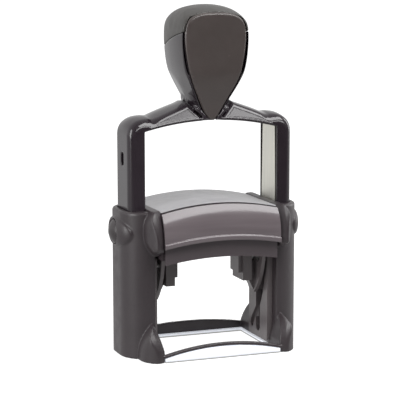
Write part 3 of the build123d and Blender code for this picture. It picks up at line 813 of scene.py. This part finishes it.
FRAME_BOX = (FRAME_LOW, FRAME_HIGH)
BOW_BOX = (BOW_LOW, BOW_HIGH)
CAP_BOX = (CAP_LOW - 2, CAP_HIGH + 1)
shell("main_frame_shell", frame_field, FRAME_BOX, COARSE, "frame", FRAME_PLASTIC, "main_frame")
shell("handle_bow_shell", handle_field, BOW_BOX, COARSE, "handle", GLOSS_BLACK, "handle_bow")
shell("knob_cap_shell", cap_field, CAP_BOX, FINE, "handle", CAP_SATIN, "knob_cap")
for side, field in (("front", front_plate_field), ("rear", rear_plate_field)):
    node = "knob_" + side + "_plate"
    shell(side + "_plate", field, box_mm(node), FINE, "handle", KNOB_SATIN, node)


def narrow_core():
    """The steel core with its arch drawn in, so that it stays inside the moulding."""
    width_left = 0.8
    arch_from = UNDER_CORNER_Z + 0.5
    source = nodes["steel_core"]
    mesh = source.data.copy()
    mesh.name = "steel_core_strip"
    for vertex in mesh.vertices:
        place = source.matrix_world @ vertex.co
        if place.z * MM > arch_from:
            place.y *= width_left
        vertex.co = place
    add_piece("steel_core_strip", mesh, CORE_STEEL, "handle", "steel_core")


narrow_core()


# ------------------------------------------------------------------ window and cover


def tube(name, rings, flip=False):
    """Mesh through rings of points in millimetres, closed at both ends."""
    total, count = rings.shape[:2]
    ring = np.arange(count)
    after = (ring + 1) % count
    faces = []
    for k in range(total - 1):
        here, there = k * count, (k + 1) * count
        quads = np.stack([here + ring, there + ring, there + after, here + after], axis=1)
        faces += quads.tolist()
    faces.append(ring.tolist())
    faces.append(((total - 1) * count + ring[::-1]).tolist())
    mesh = bpy.data.meshes.new(name)
    mesh.from_pydata((rings.reshape(-1, 3) / MM).tolist(), [], faces)
    if flip:
        mesh.flip_normals()
    mesh.shade_smooth()
    return mesh


def sweep_arched(name, profile, material, stands_for, mirrored=False, painted_shade_strips=()):
    """Closed profile of (y, z, rise) carried across the opening, each point along its own arch."""
    half = OPENING_HALF - 0.05
    columns = 61
    xs = np.linspace(-half, half, columns)
    profile = np.array(profile)
    count = len(profile)
    rings = np.zeros((columns, count, 3))
    rings[:, :, 0] = xs[:, None]
    rings[:, :, 1] = profile[:, 0] * (-1 if mirrored else 1)
    rings[:, :, 2] = arch(xs[:, None], profile[:, 1], profile[:, 2])
    mesh = tube(name, rings, flip=mirrored)
    mesh.set_sharp_from_angle(angle=math.radians(50))
    add_piece(name, mesh, material, "frame", stands_for)
    # The second slot paints the listed strips with the dark frame plastic: painted shade.
    mesh.materials.append(FRAME_PLASTIC)
    for strip in painted_shade_strips:
        for k in range(columns - 1):
            mesh.polygons[k * count + strip].material_index = 1


def window_points():
    """Outer face from the bead up to the top edge, then back down inside: (y, z, rise)."""
    low, height = 49.85, 15.6
    rise_low, rise_high = 2.6, 3.2
    bead = [(-22.9, 0.0), (-24.5, 0.0), (-24.85, 0.3), (-24.93, 0.8)]
    bead += [(-24.93, 1.5), (-24.8, 2.0), (-24.45, 2.3)]
    points = [(y, low + z, rise_low) for y, z in bead]
    panel = chaikin([(-24.2, 52.3), (-24.15, 55.5), (-22.9, 60.8), (-20.1, 64.7)], rounds=3)
    rises = rise_low + (rise_high - rise_low) * (panel[:, 1] - low) / height
    outer = [(y, z, rise) for (y, z), rise in zip(panel, rises)]
    inner = [(y + 1.3, z - 0.5, rise) for y, z, rise in outer[::-1]]
    return points + outer + inner


def cover_points():
    """Thin cover with a rolled front and rear edge."""
    half_y = COVER_HIGH[1]
    top, under, rise = 65.5, 64.2, 3.2
    edge = [(half_y, under), (half_y, top - 0.5), (half_y - 0.15, top - 0.15), (half_y - 0.5, top)]
    front = [(-y, z, rise) for y, z in edge]
    return front + [(y, z, rise) for y, z in edge[::-1]]


sweep_arched("front_window_panel", window_points(), WINDOW_GREY, "front_window")
sweep_arched("rear_window_panel", window_points(), WINDOW_GREY, "rear_window", mirrored=True)
# The cover's front and rear edges, and its underside, take the frame plastic: painted shade that
# draws the dark line between the cover and the windows.
sweep_arched("top_cover_sheet", cover_points(), COVER_GREY, "top_cover", painted_shade_strips=(0, 6, 7))


# ------------------------------------------------------------------ springs


def coil_rings(low, high, radius, wire, axis, turns):
    """Rings of points along a coil that fills the length between two corners of a box."""
    middle = (low + high) / 2
    steps, sides = turns * 28, 10
    turn = np.linspace(0, 2 * math.pi * turns, steps + 1)[:, None]
    around = np.linspace(0, 2 * math.pi, sides, endpoint=False)[None, :]
    along = np.linspace(low[axis] + wire, high[axis] - wire, steps + 1)[:, None]
    reach = radius + wire * np.cos(around)
    second, third = (axis + 1) % 3, (axis + 2) % 3
    rings = np.zeros((steps + 1, sides, 3))
    rings[:, :, axis] = along + wire * np.sin(around)
    rings[:, :, second] = middle[second] + reach * np.cos(turn)
    rings[:, :, third] = middle[third] + reach * np.sin(turn)
    return rings


def spring(node, radius, wire, axis, turns):
    """Coil in place of a CAD spring."""
    low, high = box_mm(node)
    name = node + "_coil"
    mesh = tube(name, coil_rings(low, high, radius, wire, axis, turns), flip=True)
    piece = add_piece(name, mesh, SPRING_STEEL, "frame", node)
    middle = (low + high) / 2
    fixed = middle.copy()
    fixed[axis] = low[axis] if middle[axis] > 0 else high[axis]
    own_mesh(piece)


for side in ("right", "left"):
    spring("return_spring_" + side, 1.8, 0.3, 2, 16)
    spring("button_spring_" + side, 2.7, 0.2, 0, 3)


# ------------------------------------------------------------------ studio


def soft_light(name, place, target, size, power):
    """Rectangular area light turned towards a target."""
    data = bpy.data.lights.new(name, "AREA")
    data.shape = "RECTANGLE"
    data.size, data.size_y = size
    data.energy = power
    light = bpy.data.objects.new(name, data)
    light.location = place
    light.rotation_euler = (Vector(target) - Vector(place)).to_track_quat("-Z", "Y").to_euler()
    bpy.context.collection.objects.link(light)
    return light


def floor_paint():
    """Pale floor paint. Reflections see it dark in front of the stamp, as under a black flag."""
    material, tree, shader = new_material("floor_paint")
    drive(tree, noise(tree, 3.0), shader, "Base Color", (0.90, 0.90, 0.90), (0.92, 0.92, 0.92))
    shader.inputs["Roughness"].default_value = 0.9
    shader.inputs["Specular IOR Level"].default_value = 0.0
    glow = add(tree, "ShaderNodeEmission", strength=1.35)
    bright = add(tree, "ShaderNodeMixShader")
    bright.inputs[0].default_value = 0.7
    tree.links.new(shader.outputs[0], bright.inputs[1])
    tree.links.new(glow.outputs[0], bright.inputs[2])
    place = add(tree, "ShaderNodeNewGeometry")
    depth = split_axes(tree, place.outputs["Position"])["Y"]
    seen = add(tree, "ShaderNodeEmission")
    level = map_range(tree, depth, -0.42, -0.12, 0.10, 0.75)
    tree.links.new(level, seen.inputs["Strength"])
    rays = add(tree, "ShaderNodeLightPath")
    final = add(tree, "ShaderNodeMixShader")
    tree.links.new(rays.outputs["Is Camera Ray"], final.inputs[0])
    tree.links.new(seen.outputs[0], final.inputs[1])
    tree.links.new(bright.outputs[0], final.inputs[2])
    tree.links.new(final.outputs[0], tree.nodes["Material Output"].inputs["Surface"])
    return material


def make_floor():
    """Square floor, which isn't part of the object."""
    half = 30.0
    corners = [(-half, -half, 0), (half, -half, 0), (half, half, 0), (-half, half, 0)]
    mesh = bpy.data.meshes.new("floor")
    mesh.from_pydata(corners, [], [(0, 1, 2, 3)])
    mesh.materials.append(floor_paint())
    floor = bpy.data.objects.new("floor", mesh)
    bpy.context.collection.objects.link(floor)


def make_world():
    """White behind the stamp, dim in front of it, brighter to the left and overhead."""
    world = bpy.data.worlds.new("studio")
    world.use_nodes = True
    tree = world.node_tree
    background = tree.nodes["Background"]
    where = add(tree, "ShaderNodeTexCoord")
    direction = split_axes(tree, where.outputs["Generated"])
    total = map_range(tree, direction["Y"], -0.30, 0.55, 0.15, 0.80)
    for axis, start, end, high in (
        ("X", -0.45, -0.95, 0.55),
        ("X", 0.55, 0.95, 0.25),
        ("Z", 0.45, 0.95, 0.35),
    ):
        part = map_range(tree, direction[axis], start, end, 0.0, high)
        joined = add(tree, "ShaderNodeMath", operation="ADD")
        tree.links.new(total, joined.inputs[0])
        tree.links.new(part, joined.inputs[1])
        total = joined.outputs[0]
    rays = add(tree, "ShaderNodeLightPath")
    white = add(tree, "ShaderNodeMath", operation="MAXIMUM")
    tree.links.new(total, white.inputs[0])
    tree.links.new(rays.outputs["Is Camera Ray"], white.inputs[1])
    tree.links.new(white.outputs[0], background.inputs["Strength"])
    background.inputs["Color"].default_value = (1, 1, 1, 1)
    bpy.context.scene.world = world


def make_lights():
    """Soft boxes above and at the sides, and a strip of light that only the bow sees."""
    middle = (0, 0, 0.08)
    soft_light("overhead_box", (0.30, -0.44, 0.78), (0, 0, 0.06), (1.0, 0.34), 9.0)
    soft_light("left_box", (-0.80, -0.25, 0.30), middle, (0.30, 0.6), 4.0)
    soft_light("right_box", (0.80, 0.10, 0.30), middle, (0.2, 0.6), 2.0)
    arch_light = soft_light("arch_box", (0.28, -0.70, 0.52), (0, 0, 0.105), (1.1, 0.16), 4.0)
    only_bow = bpy.data.collections.new("arch_light_only")
    only_bow.objects.link(bpy.data.objects["handle_bow_shell"])
    arch_light.light_linking.receiver_collection = only_bow


def make_camera():
    """The camera stands to the left in front, a little above the stamp."""
    azimuth, elevation = math.radians(-20.79), math.radians(9.37)
    distance = 0.7393
    target = Vector((0.00179, 0.0, 0.06289))
    level = math.cos(elevation)
    back = Vector((math.sin(azimuth) * level, -math.cos(azimuth) * level, math.sin(elevation)))
    data = bpy.data.cameras.new("camera")
    data.sensor_width = 36.0
    data.lens = 143.4
    data.clip_end = 100.0
    camera = bpy.data.objects.new("camera", data)
    camera.location = target + back * distance
    camera.rotation_euler = back.to_track_quat("Z", "Y").to_euler()
    bpy.context.collection.objects.link(camera)
    bpy.context.scene.camera = camera


make_floor()
make_world()
make_lights()
make_camera()
bpy.context.scene.view_settings.view_transform = "Standard"
